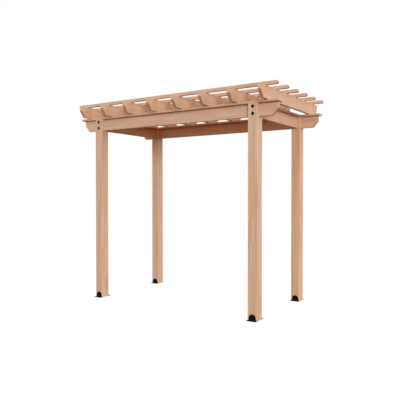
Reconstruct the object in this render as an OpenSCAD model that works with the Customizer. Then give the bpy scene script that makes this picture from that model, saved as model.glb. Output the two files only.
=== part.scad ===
// Wooden garden pergola: four slotted posts, long beams held in the slots by timber bolts,
// side beams, flat top plates, clipped rafters and round-ended roof slats, on steel post anchors.
// Millimetres. X runs along the long side, Y along the short side, Z up from the ground.

/* [Posts] */
// Side of a square post
post_w = 114; // [90:1:150]
// Height of a post, from the ground to the underside of the top plates
post_h = 2323; // [1800:1:3000]
// Distance between post centres along the long side
bay_length = 2250; // [1800:1:3600]
// Distance between post centres along the short side
bay_depth = 1184; // [900:1:2400]
// Radius of the eased long edges of every timber
arris_r = 3; // [1:0.5:6]

/* [Beams] */
// Thickness of the beams and of the post slots that hold them
beam_t = 38; // [30:1:50]
// Height of the beams
beam_h = 140; // [110:1:190]
// How far a long beam runs past the post centres
beam_overhang = 275; // [180:1:400]
// Upright end left above the clipped corner of a long beam
beam_nose = 62; // [30:1:90]
// Length of the clipped corner along a long beam
beam_clip = 64; // [20:1:100]

/* [Top plates] */
// Thickness of the flat boards on top of the beams
plate_t = 25; // [18:1:45]
// How far a long plate runs past the post centres
plate_overhang = 302; // [200:1:450]

/* [Rafters] */
// Number of rafters
rafter_count = 8; // [3:1:12]
// Thickness of a rafter
rafter_t = 38; // [30:1:50]
// Height of a rafter
rafter_h = 140; // [110:1:190]
// How far the end rafters lie past the post centres, to their own centres
rafter_outreach = 158; // [80:1:180]
// How far a rafter runs past the post centres
rafter_overhang = 218; // [160:1:400]
// Upright end left above the clipped corner of a rafter
rafter_nose = 55; // [30:1:90]
// Length of the clipped corner along a rafter
rafter_clip = 62; // [20:1:90]

/* [Slats] */
// Number of roof slats
slat_count = 6; // [3:1:9]
// Width of a slat
slat_w = 38; // [25:1:60]
// Height of a slat
slat_h = 38; // [25:1:60]
// How far the end slats lie past the post centres, to their own centres
slat_outreach = 82; // [0:1:130]
// How far a slat runs past the centres of the end rafters
slat_overhang = 150; // [60:1:300]

/* [Beam bolts] */
// Diameter of a beam bolt's shank
bolt_d = 12; // [8:1:16]
// Diameter of its round head
bolt_head_d = 35; // [22:1:42]
// Height of its domed head
bolt_head_h = 9; // [5:1:12]
// Distance of a bolt from the beam's top or bottom edge
bolt_edge = 32; // [22:1:45]
// Length of a bolt inside the end of a side beam
bolt_bite = 70; // [30:1:120]

/* [Post anchors] */
// Thickness of the bent steel
anchor_t = 4; // [3:1:8]
// Inside radius of the bend
anchor_bend_r = 4; // [2:1:8]
// Length of the foot, out from the post
anchor_foot_len = 35; // [32:1:80]
// Width of the round-topped ear
anchor_ear_w = 82; // [60:1:110]
// Height of the ear
anchor_ear_h = 70; // [60:1:120]
// Diameter of the two ground holes in the foot
anchor_hole_d = 11; // [8:1:14]
// Distance between the two ground holes
anchor_hole_gap = 72; // [40:1:80]
// Distance of the ground holes from the post's face
anchor_hole_out = 22; // [18:1:26]
// Diameter of the screw that holds an ear to the post
ear_screw_d = 10; // [6:1:12]
// Size of that screw's hexagonal head, across its flats
ear_screw_head = 17; // [12:1:22]
// Length of that screw inside the post
ear_screw_len = 45; // [25:1:50]
// Height of that screw above the ground
ear_screw_z = 36; // [30:1:45]

/* [Hidden] */
// Clearance round a shank in its hole
hole_clearance = 0.3;
// Height of the flat flange under a bolt or screw head
flange_h = 2.5;
// Share of the bolt head's diameter that its dome takes
dome_share = 0.82;
// Height of the hexagonal screw head
ear_head_h = 7;
// Diameter of the flange under the hexagonal head, against its flats
ear_flange_share = 1.45;
// Points along a bend of the anchors
bend_steps = 8;
// Smoothness of round work
$fn = 48;

post_x = bay_length / 2;
post_y = bay_depth / 2;
plate_z = post_h;
rafter_z = plate_z + plate_t;
slat_z = rafter_z + rafter_h;
beam_z = post_h - beam_h;
side_len = bay_depth - post_w;
beam_len = bay_length + 2 * beam_overhang;
plate_len = bay_length + 2 * plate_overhang;
rafter_len = bay_depth + 2 * rafter_overhang;
rafter_reach = post_x + rafter_outreach;
slat_len = 2 * (rafter_reach + slat_overhang);
slat_reach = post_y + slat_outreach;
bolt_levels = [beam_z + bolt_edge, post_h - bolt_edge];
bolt_hole_d = bolt_d + 2 * hole_clearance;
ear_hole_d = ear_screw_d + 2 * hole_clearance;
anchor_foot_w = post_w;

wood = "burlywood";
wood_dark = "tan";
steel = "#202226";

corner_names = ["front_left", "front_right", "back_left", "back_right"];
corner_sides = [[-1, -1], [1, -1], [-1, 1], [1, 1]];

// Place of one evenly spaced member out of count, from -reach to reach
function spread(i, count, reach) = -reach + 2 * reach * i / (count - 1);

// Points on an arc about a centre, from one angle to another
function arc(centre, r, from, to) =
    [for (i = [0 : bend_steps]) let (a = from + (to - from) * i / bend_steps)
        centre + r * [cos(a), sin(a)]];

// Moves a front left piece to any corner: side -1 is left or front, 1 is right or back
module at_corner(side_x, side_y) {
    mirror([side_x > 0 ? 1 : 0, 0, 0])
        mirror([0, side_y > 0 ? 1 : 0, 0])
            translate([-post_x, -post_y, 0])
                children();
}

// Rectangle with eased corners, about the middle of its width and up from Y = 0
module eased_section(width, height) {
    translate([-width / 2 + arris_r, 0])
        square([width - 2 * arris_r, height]);
    translate([-width / 2, arris_r])
        square([width, height - 2 * arris_r]);
    for (side = [-1, 1])
        for (y = [arris_r, height - arris_r])
            translate([side * (width / 2 - arris_r), y])
                circle(r = arris_r);
}

// Square-ended timber along X, lying on Z = 0
module timber(length, width, height) {
    rotate([90, 0, 90])
        linear_extrude(length, center = true)
            eased_section(width, height);
}

// Timber along X with its lower corners clipped off below an upright nose
module clipped_timber(length, width, height, nose, clip) {
    intersection() {
        timber(length, width, height);
        rotate([90, 0, 0])
            linear_extrude(width, center = true)
                polygon([
                    [-length / 2, height], [-length / 2, height - nose], [-length / 2 + clip, 0],
                    [length / 2 - clip, 0], [length / 2, height - nose], [length / 2, height]
                ]);
    }
}

// Timber along X with half-round ends
module round_ended_timber(length, width, height) {
    end_r = height / 2;
    intersection() {
        timber(length, width, height);
        rotate([90, 0, 0])
            linear_extrude(width, center = true) {
                translate([-length / 2 + end_r, 0])
                    square([length - height, height]);
                for (side = [-1, 1])
                    translate([side * (length / 2 - end_r), end_r])
                        circle(r = end_r);
            }
    }
}

// Round bar along Y from the outer face of a front post inwards
module bar_in(d, from, to, z) {
    translate([0, from, z])
        rotate([-90, 0, 0])
            cylinder(d = d, h = to - from);
}

// Holes that the beam bolts take through a front post's line
module bolt_holes() {
    for (z = bolt_levels)
        bar_in(bolt_hole_d, -post_w / 2, post_w / 2 + bolt_bite, z);
}

// Front left post, with the slot for the long beam and the screw holes of its anchors
module post() {
    color(wood)
        difference() {
            linear_extrude(post_h)
                translate([0, -post_w / 2])
                    eased_section(post_w, post_w);
            translate([-post_w / 2, -beam_t / 2, beam_z])
                cube([post_w, beam_t, beam_h]);
            bolt_holes();
            for (side = [0, 1])
                mirror([0, side, 0])
                    bar_in(ear_hole_d, -post_w / 2, -post_w / 2 + ear_screw_len, ear_screw_z);
        }
}

// Front beam, through both front posts' slots
module beam() {
    color(wood)
        difference() {
            translate([0, -post_y, beam_z])
                clipped_timber(beam_len, beam_t, beam_h, beam_nose, beam_clip);
            for (side = [-1, 1])
                at_corner(side, -1)
                    bolt_holes();
        }
}

// Left side beam, between the left posts
module side_beam() {
    color(wood)
        difference() {
            translate([-post_x, 0, beam_z])
                rotate([0, 0, 90])
                    timber(side_len, beam_t, beam_h);
            for (side = [-1, 1])
                at_corner(-1, side)
                    bolt_holes();
        }
}

// Front plate, flat over the front beam and posts
module long_plate() {
    color(wood_dark)
        translate([0, -post_y, plate_z])
            timber(plate_len, post_w, plate_t);
}

// Left plate, flat over the left side beam between the long plates
module side_plate() {
    color(wood_dark)
        translate([-post_x, 0, plate_z])
            rotate([0, 0, 90])
                timber(side_len, post_w, plate_t);
}

// One rafter, counted from the left
module rafter(i) {
    color(wood)
        translate([spread(i, rafter_count, rafter_reach), 0, rafter_z])
            rotate([0, 0, 90])
                clipped_timber(rafter_len, rafter_t, rafter_h, rafter_nose, rafter_clip);
}

// One roof slat, counted from the front
module slat(i) {
    color(wood_dark)
        translate([0, spread(i, slat_count, slat_reach), slat_z])
            round_ended_timber(slat_len, slat_w, slat_h);
}

// Domed head on its flange, standing out from a post's face along -Y
module dome_head() {
    dome_d = bolt_head_d * dome_share;
    dome_h = bolt_head_h - flange_h;
    dome_r = (dome_d * dome_d / 4 + dome_h * dome_h) / (2 * dome_h);
    rotate([90, 0, 0]) {
        cylinder(d = bolt_head_d, h = flange_h);
        intersection() {
            translate([0, 0, bolt_head_h - dome_r])
                sphere(r = dome_r);
            cylinder(d = dome_d, h = bolt_head_h);
        }
    }
}

// Two timber bolts of the front left post, through the beam and into the side beam's end
module beam_bolts() {
    color(steel)
        for (z = bolt_levels) {
            bar_in(bolt_d, -post_w / 2, post_w / 2 + bolt_bite, z);
            translate([0, -post_w / 2, z])
                dome_head();
        }
}

// Section of an anchor across its bend: ear up the post's face at Y = 0, foot out along -Y
module anchor_section() {
    r = anchor_bend_r;
    t = anchor_t;
    centre = [-t - r, t + r];
    polygon(concat(
        [[0, anchor_ear_h]],
        arc(centre, r + t, 0, -90),
        [[-anchor_foot_len, 0], [-anchor_foot_len, t]],
        arc(centre, r, -90, 0),
        [[-t, anchor_ear_h]]
    ));
}

// Outline of an anchor seen from the front: the foot's full width, then the round-topped ear
module anchor_outline() {
    ear_r = anchor_ear_w / 2;
    translate([-anchor_foot_w / 2, 0])
        square([anchor_foot_w, anchor_t + anchor_bend_r]);
    translate([-ear_r, 0])
        square([anchor_ear_w, anchor_ear_h - ear_r]);
    translate([0, anchor_ear_h - ear_r])
        circle(r = ear_r, $fn = 96);
}

// Bent steel anchor on the outer face of the front left post
module anchor() {
    color(steel)
        translate([0, -post_w / 2, 0])
            difference() {
                intersection() {
                    rotate([90, 0, 90])
                        linear_extrude(anchor_foot_w, center = true)
                            anchor_section();
                    rotate([90, 0, 0])
                        linear_extrude(anchor_foot_len)
                            anchor_outline();
                }
                for (side = [-1, 1])
                    translate([side * anchor_hole_gap / 2, -anchor_hole_out, 0])
                        cylinder(d = anchor_hole_d, h = anchor_t);
                bar_in(ear_hole_d, -anchor_t, 0, ear_screw_z);
            }
}

// Screw that holds one ear, its flange on the ear's outer face
module ear_screw() {
    color(steel)
        translate([0, -post_w / 2 - anchor_t, ear_screw_z]) {
            rotate([90, 0, 0]) {
                cylinder(d = ear_screw_head * ear_flange_share, h = flange_h);
                cylinder(d = ear_screw_head / cos(30), h = ear_head_h, $fn = 6);
            }
            bar_in(ear_screw_d, 0, anchor_t + ear_screw_len, 0);
        }
}

module inner_side() {
    mirror([0, 1, 0])
        children();
}

module anchor_screws() {
    ear_screw();
    inner_side()
        ear_screw();
}

for (c = [0 : len(corner_names) - 1]) {
    name = corner_names[c];
    side_x = corner_sides[c][0];
    side_y = corner_sides[c][1];
    at_corner(side_x, side_y) post();
    at_corner(side_x, side_y) beam_bolts();
    at_corner(side_x, side_y) anchor();
    at_corner(side_x, side_y) inner_side() anchor();
    at_corner(side_x, side_y) anchor_screws();
}
beam();  // front_beam
mirror([0, 1, 0]) beam();  // back_beam
side_beam();  // left_side_beam
mirror([1, 0, 0]) side_beam();  // right_side_beam
long_plate();  // front_top_plate
mirror([0, 1, 0]) long_plate();  // back_top_plate
side_plate();  // left_top_plate
mirror([1, 0, 0]) side_plate();  // right_top_plate
for (i = [0 : rafter_count - 1])
    rafter(i);
for (i = [0 : slat_count - 1])
    slat(i);
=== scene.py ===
import math
import random

import bmesh
import bpy
from mathutils import Euler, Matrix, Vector


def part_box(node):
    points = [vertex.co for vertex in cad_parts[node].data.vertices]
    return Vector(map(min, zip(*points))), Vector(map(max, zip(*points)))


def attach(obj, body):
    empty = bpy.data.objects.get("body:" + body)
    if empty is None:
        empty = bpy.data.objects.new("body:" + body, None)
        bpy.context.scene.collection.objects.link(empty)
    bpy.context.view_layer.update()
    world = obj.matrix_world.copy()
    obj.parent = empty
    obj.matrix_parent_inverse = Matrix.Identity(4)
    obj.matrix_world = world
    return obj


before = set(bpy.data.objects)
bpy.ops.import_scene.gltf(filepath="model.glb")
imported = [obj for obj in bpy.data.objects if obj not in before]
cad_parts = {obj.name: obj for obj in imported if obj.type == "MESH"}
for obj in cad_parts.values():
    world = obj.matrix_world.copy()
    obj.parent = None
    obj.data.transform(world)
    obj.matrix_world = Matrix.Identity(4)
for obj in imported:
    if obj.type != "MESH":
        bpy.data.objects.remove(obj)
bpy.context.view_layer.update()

# The looks of a wooden pergola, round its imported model. Metres, X along the front, Y to the back, Z up.
# The main values come first, and the finer ones stand beside the function that uses them.

# Camera, fitted to the photograph: place, turn in degrees, lens and sensor's width in millimetres
CAMERA_AT = (3.5616, -5.4026, 1.3799)
CAMERA_YAW = 33.146
CAMERA_PITCH = -0.928
CAMERA_LENS = 44.897
CAMERA_SENSOR = 36.0

# A dim warm sky and three soft suns. A sun has its strength, then its azimuth from -Y towards +X, its
# height and its softness in degrees.
SKY_STRENGTH = 0.76
SKY_TINT = (1.0, 0.90, 0.80)
SUN_TINT = (0.93, 1.0, 1.08)
SUNS = {
    "key": (1.38, 42.0, 8.0, 16.0),
    "side": (0.54, 92.0, 13.0, 30.0),
    "fill": (0.55, 228.0, 14.0, 40.0),
}

# White floor, a hair under the feet: the colour that it bounces up, its glow and the share that is shaded
WHITE = (1.0, 1.0, 1.0)
FLOOR_SIZE = 60.0
FLOOR_DROP = 0.0004
FLOOR_BOUNCE = (0.24, 0.07, 0.02)
FLOOR_GLOW = 1.035
FLOOR_SHADOW = 0.10

# Timber tones, linear, and the share of the rarer ones where they show
PALE = (0.775, 0.626, 0.466)
DEEP = (0.700, 0.380, 0.200)
PINK = (0.720, 0.465, 0.328)
PINK_SHARE = 0.75
VEIN = (0.575, 0.362, 0.250)
VEIN_SHARE = 0.8
KNOT = (0.230, 0.095, 0.050)
KNOT_SHARE = 0.4
SAWN = (0.780, 0.600, 0.430)
SAWN_SHARE = 0.5
RUBBED = (0.760, 0.580, 0.440)
RUBBED_SHARE = (0.1, 0.5)
# Painted shade: a deep red tone laid over undersides, standing in for the shade beneath the timbers
UNDERSIDE_SHADE_TONE = (0.360, 0.090, 0.025)
UNDERSIDE_SHADE_SHARE = 0.75

# Kinds of timber: the axis of the grain, the depth of the tone and how lively the streaks are
POST = ("Z", 0.27, 0.9)
LONG_BEAM = ("X", 0.32, 0.7)
LONG_PLATE = ("X", 0.35, 0.6)
SLAT = ("X", 0.42, 0.6)
CROSS_TIMBER = ("Y", 0.50, 0.35)

# Each board's own draw: place in the wood, distance and lean of the pith, and spread of tone and blush
SEED = 1
SHIFT_SPREAD = 40.0
PITH_AWAY = (0.05, 0.16)
LEAN_SPREAD = 0.03
DEPTH_SPREAD = 0.08
BLUSH = 0.25
BLUSH_SPREAD = 0.15

# Black powder coat: dark, rubbed grey in patches, with dust that thins out above the ground
STEEL_DARK = (0.002, 0.0022, 0.003)
STEEL_GREY = (0.006, 0.0065, 0.008)
DUST = (0.16, 0.14, 0.12)
DUST_SHARE = 0.12
DUST_HEIGHT = 0.03

# Gloss as specular level, and bump by strength and distance
TIMBER_GLOSS = 0.25
TIMBER_BUMP = (0.5, 0.0008)
STEEL_GLOSS = 0.08
STEEL_BUMP = (0.25, 0.0004)

# Countersunk screws: rings of the head from its rim inwards, by radius and height above the timber
HEAD_RINGS = ((0.0048, -0.0005), (0.0048, 0.00012), (0.0043, 0.0003))
HEAD_POINTS = 36
# Their drive: mean radius, count and depth of its lobes, taper and height of its floor
DRIVE_RADIUS = 0.0021
DRIVE_LOBES = 6
DRIVE_LOBE = 0.0005
DRIVE_TAPER = 0.92
DRIVE_FLOOR = 0.00006

# Screws in plates: their distance from a post's middle or a plate's end, and their places on a side plate
PLATE_SCREW = 0.034
SIDE_PLATE_SHARES = (-1, -1 / 3, 1 / 3, 1)


class Graph:
    """Short calls for building a node tree."""

    def __init__(self, tree):
        self.tree = tree

    def add(self, kind, inputs=None, **settings):
        node = self.tree.nodes.new(kind)
        for key, value in settings.items():
            setattr(node, key, value)
        for key, value in (inputs or {}).items():
            self.feed(node.inputs[key], value)
        return node

    def feed(self, socket, value):
        """Links a socket or sets it. A colour is given without its alpha."""
        if isinstance(value, bpy.types.NodeSocket):
            self.tree.links.new(value, socket)
        elif socket.type == "RGBA":
            socket.default_value = (*value, 1.0)
        else:
            socket.default_value = value

    def math(self, operation, *values, clamp=False):
        inputs = dict(enumerate(values))
        return self.add("ShaderNodeMath", inputs, operation=operation, use_clamp=clamp).outputs[0]

    def vector(self, operation, *values):
        node = self.add("ShaderNodeVectorMath", dict(enumerate(values)), operation=operation)
        return node.outputs["Value" if operation in ("LENGTH", "DOT_PRODUCT") else "Vector"]

    def split(self, vector):
        return self.add("ShaderNodeSeparateXYZ", {0: vector}).outputs

    def noise(self, point, recipe):
        """Noise by its cycles per metre across and along Z, its detail and its roughness."""
        across, along, detail, roughness = recipe
        at = self.vector("MULTIPLY", point, (across, across, along))
        inputs = {"Vector": at, "Scale": 1.0, "Detail": detail, "Roughness": roughness}
        return self.add("ShaderNodeTexNoise", inputs).outputs

    def stretch(self, value, span, onto=(0.0, 1.0)):
        """A smooth step over a span of values, onto another span."""
        inputs = dict(enumerate((value, *span, *onto)))
        return self.add("ShaderNodeMapRange", inputs, interpolation_type="SMOOTHSTEP").outputs["Result"]

    def swing(self, value, middle, gain, onto=0.0, clamp=False):
        """A value about its middle, times a gain, added onto another."""
        return self.math("MULTIPLY_ADD", self.math("SUBTRACT", value, middle), gain, onto, clamp=clamp)

    def total(self, start, *weighted):
        """A start plus each value times its weight."""
        for value, weight in weighted:
            start = self.math("MULTIPLY_ADD", value, weight, start)
        return start

    def mix(self, factor, a, b):
        inputs = {"Factor": factor, "A": a, "B": b}
        return self.add("ShaderNodeMix", inputs, data_type="RGBA").outputs["Result"]

    def tint(self, colour, tone, mask, share):
        """A share of a tone over a colour, where a mask is 1."""
        return self.mix(self.math("MULTIPLY", mask, share), colour, tone)


def new_material(name):
    """An empty material, and the graph of its nodes."""
    material = bpy.data.materials.new(name)
    material.use_nodes = True
    material.node_tree.nodes.clear()
    return material, Graph(material.node_tree)


def add_surface(g, colour, rough, gloss, height, bump):
    """The material's shader, with its bump."""
    strength, distance = bump
    relief = g.add("ShaderNodeBump", {"Height": height, "Strength": strength, "Distance": distance})
    surface = g.add("ShaderNodeBsdfPrincipled", {
        "Base Color": colour,
        "Roughness": rough,
        "Specular IOR Level": gloss,
        "Normal": relief.outputs["Normal"],
    })
    g.add("ShaderNodeOutputMaterial", {"Surface": surface.outputs["BSDF"]})


# Growth of the timber: waver of the grain, width of a ring, knots by cells per metre, edge, reach and pull
WAVER = 0.045
WAVER_NOISE = (4.0, 1.1, 2.0, 0.5)
RING_WIDTH = 0.0055
LATE_WOOD = (0.35, 0.9)
LATE_END = (0.93, 1.0)
KNOT_CELLS = (5.0, 5.0, 3.0)
KNOT_EDGE = (0.003, 0.011)
KNOT_REACH = 0.06
KNOT_PULL = 0.022


def grow(g, given, there):
    """Growth rings about a leaning pith, wavering along the grain and bent round knots."""
    point = given["Point"]
    waver = g.vector("SUBTRACT", g.noise(there, WAVER_NOISE)["Color"], (0.5, 0.5, 0.5))
    bent = g.vector("ADD", point, g.vector("MULTIPLY", waver, (WAVER, WAVER, 0.0)))
    cells = {"Vector": g.vector("MULTIPLY", there, KNOT_CELLS), "Scale": 1.0}
    cells_away = g.add("ShaderNodeTexVoronoi", cells).outputs["Distance"]
    knot_far = g.math("DIVIDE", cells_away, KNOT_CELLS[0])
    knot = g.stretch(knot_far, KNOT_EDGE, (1.0, 0.0))
    pull = g.stretch(knot_far, (0.0, KNOT_REACH), (KNOT_PULL, 0.0))
    lean = g.vector("MULTIPLY", given["Lean"], g.split(point)["Z"])
    from_pith = g.vector("SUBTRACT", bent, g.vector("ADD", given["Pith"], lean))
    radius = g.vector("LENGTH", g.vector("MULTIPLY", from_pith, (1.0, 1.0, 0.0)))
    radius = g.math("ADD", radius, pull)
    ring = g.math("FRACT", g.math("DIVIDE", radius, RING_WIDTH))
    late = g.math("SUBTRACT", g.stretch(ring, LATE_WOOD), g.stretch(ring, LATE_END))
    return bent, radius, late, knot


# Sockets of the timber group, by direction, kind and names
TIMBER_SOCKETS = (
    ("INPUT", "NodeSocketVector", ("Point", "Shift", "Pith", "Lean", "Half", "Axis")),
    ("INPUT", "NodeSocketFloat", ("Depth", "Blush", "Streak")),
    ("OUTPUT", "NodeSocketColor", ("Colour",)),
    ("OUTPUT", "NodeSocketFloat", ("Roughness", "Height")),
)

# Noises of tone, in cycles per metre across and along the grain, then detail and roughness
YEARS_NOISE = (46.0, 46.0, 2.0, 0.6)
BANDS_NOISE = (34.0, 1.3, 3.0, 0.55)
BLUSH_NOISE = (20.0, 1.1, 2.0, 0.5)
BLUSH_SHIFT = (3.1, 1.7, 5.3)
BROAD_NOISE = (5.0, 0.7, 1.0, 0.5)
FIBRE_NOISE = (650.0, 9.0, 2.0, 0.6)
VEIN_NOISE = (60.0, 1.8, 2.0, 0.5)
VEIN_SPAN = (0.52, 0.66)

# How far each noise swings the tone: its middle and its gain
YEARS_SWING = (0.5, 1.8)
BANDS_SWING = (0.46, 2.0)
BLUSH_SWING = (0.48, 3.6)
BROAD_SWING = (0.5, 0.7)
FIBRE_SWING = (0.5, 0.35)
LATE_DEPTH = 0.28

# Where wear and painted shade show: how squarely a face looks along the grain, or down for the painted
# underside shade, and how near it is to a long edge
SAWN_FACING = (0.6, 0.95)
DOWN = (0.0, 0.0, -1.0)
UNDERSIDE_SHADE_FACING = (0.3, 0.8)
RUBBED_EDGE = (-0.006, -0.001)
RUBBED_PATCH = (0.35, 0.65)

# Roughness of the timber, and what each feature adds to it and to the height of the bump
TIMBER_ROUGH = 0.46
FIBRE_ROUGH = 0.22
LATE_ROUGH = -0.08
SAWN_ROUGH = 0.12
FIBRE_RISE = 0.4
LATE_RISE = 0.45
VEIN_RISE = -0.4
KNOT_RISE = 0.5


def timber_group():
    """Planed softwood in a board's own coordinates: Z along the grain, the board's centre at zero."""
    tree = bpy.data.node_groups.new("timber_grain", "ShaderNodeTree")
    for direction, kind, names in TIMBER_SOCKETS:
        for name in names:
            tree.interface.new_socket(name, in_out=direction, socket_type=kind)
    g = Graph(tree)
    given = g.add("NodeGroupInput").outputs
    there = g.vector("ADD", given["Point"], given["Shift"])
    bent, radius, late, knot = grow(g, given, there)

    # Good and lean years, then streaks of tone along the grain, wide and fine
    age = g.add("ShaderNodeCombineXYZ", {"X": radius}).outputs["Vector"]
    years = g.noise(g.vector("ADD", age, given["Shift"]), YEARS_NOISE)["Fac"]
    spread = g.vector("ADD", bent, given["Shift"])
    bands = g.noise(spread, BANDS_NOISE)["Fac"]
    blush = g.noise(g.vector("ADD", spread, BLUSH_SHIFT), BLUSH_NOISE)["Fac"]
    broad = g.noise(there, BROAD_NOISE)["Fac"]
    fibre = g.noise(there, FIBRE_NOISE)["Fac"]
    vein = g.stretch(g.noise(there, VEIN_NOISE)["Fac"], VEIN_SPAN)

    streaks = g.swing(bands, *BANDS_SWING)
    streaks = g.swing(years, *YEARS_SWING, onto=streaks)
    streaks = g.swing(broad, *BROAD_SWING, onto=streaks)
    depth = g.total(given["Depth"], (streaks, given["Streak"]), (late, LATE_DEPTH))
    depth = g.swing(fibre, *FIBRE_SWING, onto=depth, clamp=True)
    colour = g.mix(depth, PALE, DEEP)
    pinkness = g.swing(blush, *BLUSH_SWING, onto=given["Blush"], clamp=True)
    colour = g.tint(colour, PINK, pinkness, PINK_SHARE)
    colour = g.tint(colour, VEIN, g.math("MULTIPLY", vein, given["Streak"]), VEIN_SHARE)
    colour = g.tint(colour, KNOT, knot, KNOT_SHARE)

    # Fresh sawn ends are pale, and so are rubbed long edges
    normal = g.add("ShaderNodeNewGeometry").outputs["Normal"]
    facing = g.math("ABSOLUTE", g.vector("DOT_PRODUCT", normal, given["Axis"]))
    sawn = g.stretch(facing, SAWN_FACING)
    colour = g.tint(colour, SAWN, sawn, SAWN_SHARE)
    past_half = g.split(g.vector("SUBTRACT", g.vector("ABSOLUTE", given["Point"]), given["Half"]))
    rubbed = g.stretch(g.math("MINIMUM", past_half["X"], past_half["Y"]), RUBBED_EDGE)
    colour = g.tint(colour, RUBBED, rubbed, g.stretch(broad, RUBBED_PATCH, RUBBED_SHARE))

    # Painted shade: undersides are tinted a deep red, standing in for the shade beneath the timbers
    painted_underside_shade = g.stretch(g.vector("DOT_PRODUCT", normal, DOWN), UNDERSIDE_SHADE_FACING)
    colour = g.tint(colour, UNDERSIDE_SHADE_TONE, painted_underside_shade, UNDERSIDE_SHADE_SHARE)

    rough = g.total(TIMBER_ROUGH, (fibre, FIBRE_ROUGH), (late, LATE_ROUGH), (sawn, SAWN_ROUGH))
    height = g.total(0.0, (fibre, FIBRE_RISE), (late, LATE_RISE), (vein, VEIN_RISE), (knot, KNOT_RISE))
    g.add("NodeGroupOutput", {"Colour": colour, "Roughness": rough, "Height": height})
    return tree


# How a board's coordinates turn so that its grain runs along Z: rotation, and the sizes' order after it
GRAIN_TURN = {
    "X": ((0.0, math.radians(-90), 0.0), (2, 1, 0)),
    "Y": ((math.radians(90), 0.0, 0.0), (0, 2, 1)),
    "Z": ((0.0, 0.0, 0.0), (0, 1, 2)),
}


def timber_material(node_name, group, grain, depth, streak):
    """One board's own piece of timber, cut from its own place in the tree."""
    rng = random.Random("%d %s" % (SEED, node_name))
    shift = [rng.uniform(-SHIFT_SPREAD, SHIFT_SPREAD) for _ in range(3)]
    angle = rng.uniform(0, 2 * math.pi)
    away = rng.uniform(*PITH_AWAY)
    lean = [rng.uniform(-LEAN_SPREAD, LEAN_SPREAD) for _ in range(2)]
    own_depth = depth + rng.uniform(-DEPTH_SPREAD, DEPTH_SPREAD)
    own_blush = BLUSH + rng.uniform(-BLUSH_SPREAD, BLUSH_SPREAD)

    low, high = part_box(node_name)
    turn, order = GRAIN_TURN[grain]
    centre = Euler(turn).to_matrix() @ ((low + high) / 2)
    material, g = new_material("timber_" + node_name)
    place = g.add("ShaderNodeTexCoord").outputs["Object"]
    local = g.add("ShaderNodeMapping", {"Vector": place, "Location": -centre, "Rotation": turn})
    wood = g.add("ShaderNodeGroup", {
        "Point": local.outputs["Vector"],
        "Shift": shift,
        "Pith": (away * math.cos(angle), away * math.sin(angle), 0.0),
        "Lean": (*lean, 0.0),
        "Half": [(high[i] - low[i]) / 2 for i in order],
        "Axis": [1.0 if grain == axis else 0.0 for axis in "XYZ"],
        "Depth": own_depth,
        "Blush": own_blush,
        "Streak": streak,
    }, node_tree=group).outputs
    add_surface(g, wood["Colour"], wood["Roughness"], TIMBER_GLOSS, wood["Height"], TIMBER_BUMP)
    return material


# Powder coat: noises of its grey patches, grit and orange peel, where they show and what they add
CLOUD_NOISE = (35.0, 35.0, 4.0, 0.6)
CLOUD_SPAN = (0.35, 0.75)
GRIT_NOISE = (900.0, 900.0, 2.0, 0.5)
GRIT_SPAN = (0.45, 0.7)
GRIT_RISE = 0.25
PEEL_NOISE = (420.0, 420.0, 1.0, 0.5)
STEEL_ROUGH = 0.36
CLOUD_ROUGH = 0.25
DUST_ROUGH = 0.5


def steel_material():
    """Black powder coat: a fine orange peel, rubbed grey in places, dusty near the ground."""
    material, g = new_material("black_powder_coat")
    place = g.add("ShaderNodeTexCoord").outputs["Object"]
    cloud = g.noise(place, CLOUD_NOISE)["Fac"]
    grit = g.noise(place, GRIT_NOISE)["Fac"]
    peel = g.noise(place, PEEL_NOISE)["Fac"]
    colour = g.mix(g.stretch(cloud, CLOUD_SPAN), STEEL_DARK, STEEL_GREY)
    near_ground = g.stretch(g.split(place)["Z"], (0.0, DUST_HEIGHT), (DUST_SHARE, 0.0))
    dust = g.math("MULTIPLY", near_ground, g.stretch(grit, GRIT_SPAN))
    colour = g.mix(dust, colour, DUST)
    rough = g.total(STEEL_ROUGH, (cloud, CLOUD_ROUGH), (dust, DUST_ROUGH))
    add_surface(g, colour, rough, STEEL_GLOSS, g.total(peel, (grit, GRIT_RISE)), STEEL_BUMP)
    return material


def timber_kind(node_name):
    """The kind of timber that a node is made of, or None for steel."""
    if node_name.endswith("_post"):
        return POST
    if node_name in ("front_beam", "back_beam"):
        return LONG_BEAM
    if node_name in ("front_top_plate", "back_top_plate"):
        return LONG_PLATE
    if node_name.startswith("slat_"):
        return SLAT
    if node_name.startswith("rafter_") or node_name.endswith(("_side_beam", "_top_plate")):
        return CROSS_TIMBER
    return None


def dress_nodes(steel):
    """Each timber gets a material of its own, and bolts, screws and anchors get steel."""
    group = timber_group()
    for name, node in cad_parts.items():
        kind = timber_kind(name)
        material = timber_material(name, group, *kind) if kind else steel
        for slot in node.material_slots:
            slot.material = material


def screw_head(mesh, at, turn):
    """A countersunk head with a lobed drive, lying on the timber at a point."""
    angles = [2 * math.pi * i / HEAD_POINTS for i in range(HEAD_POINTS)]
    lobes = [DRIVE_RADIUS + DRIVE_LOBE * math.cos(DRIVE_LOBES * angle) for angle in angles]
    outlines = [([radius] * HEAD_POINTS, height) for radius, height in HEAD_RINGS]
    outlines.append((lobes, HEAD_RINGS[-1][1]))
    outlines.append(([DRIVE_TAPER * lobe for lobe in lobes], DRIVE_FLOOR))

    rings = []
    for radii, height in outlines:
        points = [(r * math.cos(a + turn), r * math.sin(a + turn), height) for r, a in zip(radii, angles)]
        rings.append([mesh.verts.new(Vector(at) + Vector(point)) for point in points])
    for outer, inner in zip(rings, rings[1:]):
        for i in range(HEAD_POINTS):
            j = (i + 1) % HEAD_POINTS
            mesh.faces.new((outer[i], outer[j], inner[j], inner[i]))
    mesh.faces.new(rings[-1])


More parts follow.
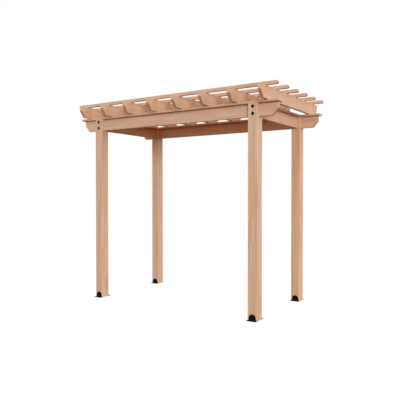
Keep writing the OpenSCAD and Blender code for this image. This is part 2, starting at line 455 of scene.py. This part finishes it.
def add_screws(name, places, material):
    """One piece with a screw head at each place."""
    rng = random.Random("%d %s" % (SEED, name))
    mesh = bmesh.new()
    for at in places:
        screw_head(mesh, at, rng.uniform(0, 2 * math.pi / DRIVE_LOBES))
    data = bpy.data.meshes.new(name)
    mesh.to_mesh(data)
    mesh.free()
    data.materials.append(material)
    piece = bpy.data.objects.new(name, data)
    bpy.context.scene.collection.objects.link(piece)
    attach(piece, "root")


def top_middle(node_name):
    """The middle of a node's box, at its top."""
    low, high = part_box(node_name)
    return Vector(((low.x + high.x) / 2, (low.y + high.y) / 2, high.z))


def named(start):
    """The nodes whose names begin with a word, in order."""
    return sorted(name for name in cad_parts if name.startswith(start))


def add_roof_screws(material):
    """Slats are screwed to every rafter, plates to the posts and beams under them."""
    rafters = sorted(top_middle(name).x for name in named("rafter_"))
    on_slats = []
    for name in named("slat_"):
        slat = top_middle(name)
        on_slats += [(x, slat.y, slat.z) for x in rafters]
    add_screws("slat_screws", on_slats, material)

    # Long plates: halfway between the inner rafters, then two screws over each post
    inner = rafters[1:-1]
    halfway = [(a + b) / 2 for a, b in zip(inner, inner[1:])]
    plates = [top_middle(name) for name in ("front_top_plate", "back_top_plate")]
    on_plates = [(x, plate.y, plate.z) for plate in plates for x in halfway]
    posts = [top_middle(name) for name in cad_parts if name.endswith("_post")]
    for post in posts:
        for offset in (-PLATE_SCREW, PLATE_SCREW):
            on_plates.append((post.x + offset, post.y - offset, plates[0].z))

    # Side plates: in a row along their middle
    for name in ("left_top_plate", "right_top_plate"):
        plate = top_middle(name)
        low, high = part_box(name)
        reach = (high.y - low.y) / 2 - PLATE_SCREW
        on_plates += [(plate.x, plate.y + share * reach, plate.z) for share in SIDE_PLATE_SHARES]
    add_screws("plate_screws", on_plates, material)


def place_camera():
    lens = bpy.data.cameras.new("camera")
    lens.lens = CAMERA_LENS
    lens.sensor_width = CAMERA_SENSOR
    camera = bpy.data.objects.new("camera", lens)
    camera.location = CAMERA_AT
    camera.rotation_euler = (math.radians(90 + CAMERA_PITCH), 0.0, math.radians(CAMERA_YAW))
    bpy.context.scene.collection.objects.link(camera)
    bpy.context.scene.camera = camera


def seen_directly(g):
    """1 where the camera, a gloss or a transmission looks, 0 for light that bounces."""
    path = g.add("ShaderNodeLightPath").outputs
    direct = g.math("MAXIMUM", path["Is Camera Ray"], path["Is Glossy Ray"])
    return g.math("MAXIMUM", direct, path["Is Transmission Ray"])


def light_studio():
    """A sky that is white to look at and dim as a light, and the suns."""
    scene = bpy.context.scene
    scene.view_settings.view_transform = "Standard"
    world = bpy.data.worlds.new("studio")
    scene.world = world
    world.use_nodes = True
    g = Graph(world.node_tree)
    g.tree.nodes.clear()
    seen = seen_directly(g)
    brightness = g.math("MULTIPLY_ADD", seen, 1.0 - SKY_STRENGTH, SKY_STRENGTH)
    sky = g.add("ShaderNodeBackground", {"Color": g.mix(seen, SKY_TINT, WHITE), "Strength": brightness})
    g.add("ShaderNodeOutputWorld", {"Surface": sky.outputs["Background"]})

    for name, (strength, azimuth, height, softness) in SUNS.items():
        sun = bpy.data.lights.new(name, "SUN")
        sun.energy = strength
        sun.color = SUN_TINT
        sun.angle = math.radians(softness)
        lamp = bpy.data.objects.new(name, sun)
        lamp.rotation_euler = (math.radians(90 - height), 0.0, math.radians(azimuth))
        scene.collection.objects.link(lamp)


def lay_floor():
    """A floor that is white to look at, with the object's shadow, and warm in what it bounces up."""
    mesh = bpy.data.meshes.new("floor")
    edge = FLOOR_SIZE / 2
    corners = [(-edge, -edge), (edge, -edge), (edge, edge), (-edge, edge)]
    mesh.from_pydata([(x, y, -FLOOR_DROP) for x, y in corners], [], [(0, 1, 2, 3)])
    floor = bpy.data.objects.new("floor", mesh)
    bpy.context.scene.collection.objects.link(floor)

    material, g = new_material("white_floor")
    glow = g.add("ShaderNodeEmission", {"Color": WHITE, "Strength": FLOOR_GLOW}).outputs["Emission"]
    shaded = g.add("ShaderNodeBsdfDiffuse", {"Color": WHITE}).outputs["BSDF"]
    seen = g.add("ShaderNodeMixShader", {0: FLOOR_SHADOW, 1: glow, 2: shaded}).outputs["Shader"]
    bounce = g.add("ShaderNodeBsdfDiffuse", {"Color": FLOOR_BOUNCE}).outputs["BSDF"]
    both = g.add("ShaderNodeMixShader", {0: seen_directly(g), 1: bounce, 2: seen}).outputs["Shader"]
    g.add("ShaderNodeOutputMaterial", {"Surface": both})
    mesh.materials.append(material)


place_camera()
light_studio()
lay_floor()
steel = steel_material()
dress_nodes(steel)
add_roof_screws(steel)
